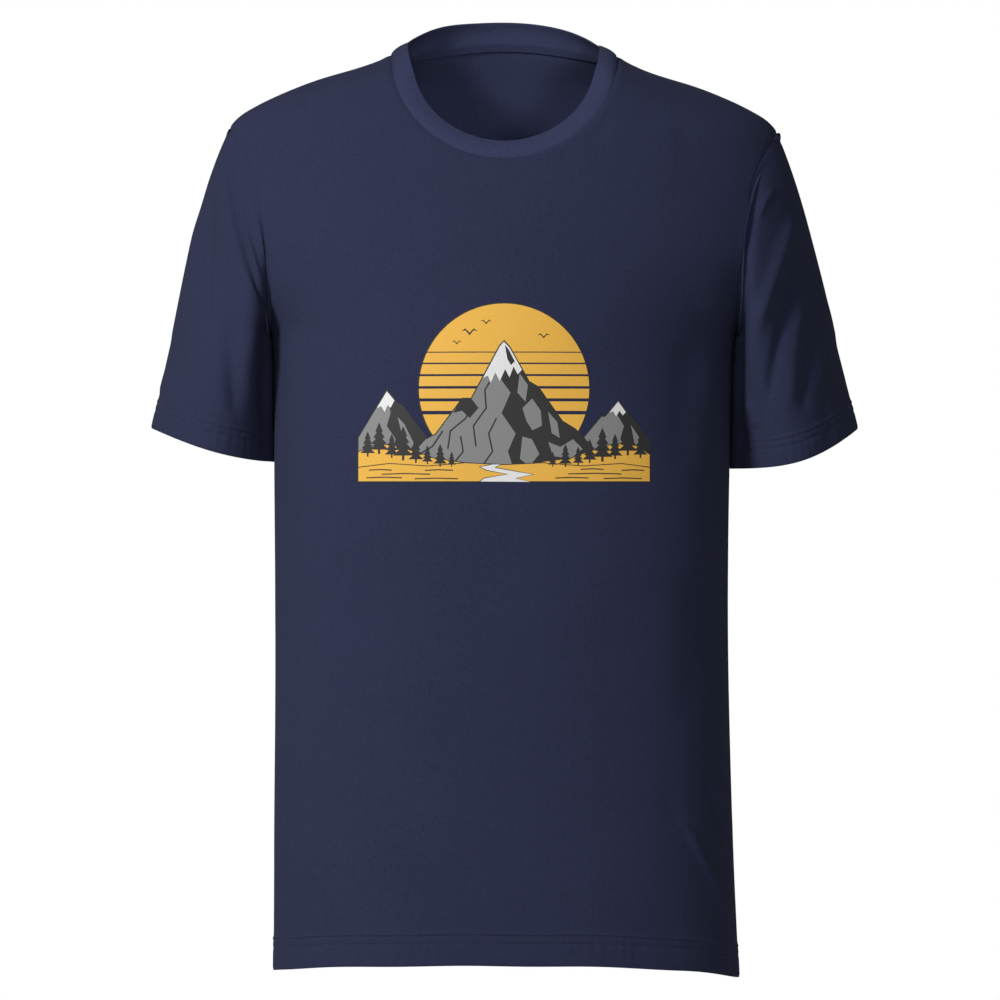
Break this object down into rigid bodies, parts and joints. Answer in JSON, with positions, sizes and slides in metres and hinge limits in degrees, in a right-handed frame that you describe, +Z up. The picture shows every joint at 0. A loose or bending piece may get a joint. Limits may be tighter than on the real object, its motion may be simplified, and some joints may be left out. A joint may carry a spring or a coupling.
{
  "type": "crew-neck t-shirt",
  "caption": "Short-sleeve crew-neck jersey t-shirt in its worn, filled shape, with set-in sleeves, a rib collar band, turned-up hems and a chest print.",
  "frame": {"origin": "midway between the two high points of the shoulders, beside the neck, where the shirt hangs on its wearer", "axes": "+X to the wearer's left, +Y to the back, +Z up"},
  "size_m": [0.57, 0.2462, 0.7682],
  "materials": {
    "jersey": "matt navy cotton jersey, fine single knit",
    "rib_knit": "matt navy cotton 1x1 rib knit",
    "seam_tape": "matt navy cotton tape",
    "overlock": "navy jersey edges under overlock thread",
    "print_ink": "thin screen-printed ink in yellow, charcoal, mid grey and white"
  },
  "bodies": {
    "root": {"front_panel": "jersey", "back_panel": "jersey", "sleeve_left": "jersey", "sleeve_right": "jersey", "collar_rib": "rib_knit", "front_hem": "jersey", "back_hem": "jersey", "sleeve_hem_left": "jersey", "sleeve_hem_right": "jersey", "neck_seam": "overlock", "neck_tape": "seam_tape", "armhole_seam_left": "overlock", "armhole_seam_right": "overlock", "underarm_seam_left": "overlock", "underarm_seam_right": "overlock", "side_seam_left": "overlock", "side_seam_right": "overlock", "shoulder_seam_left": "overlock", "shoulder_seam_right": "overlock", "chest_print": "print_ink"}
  },
  "joints": []
}
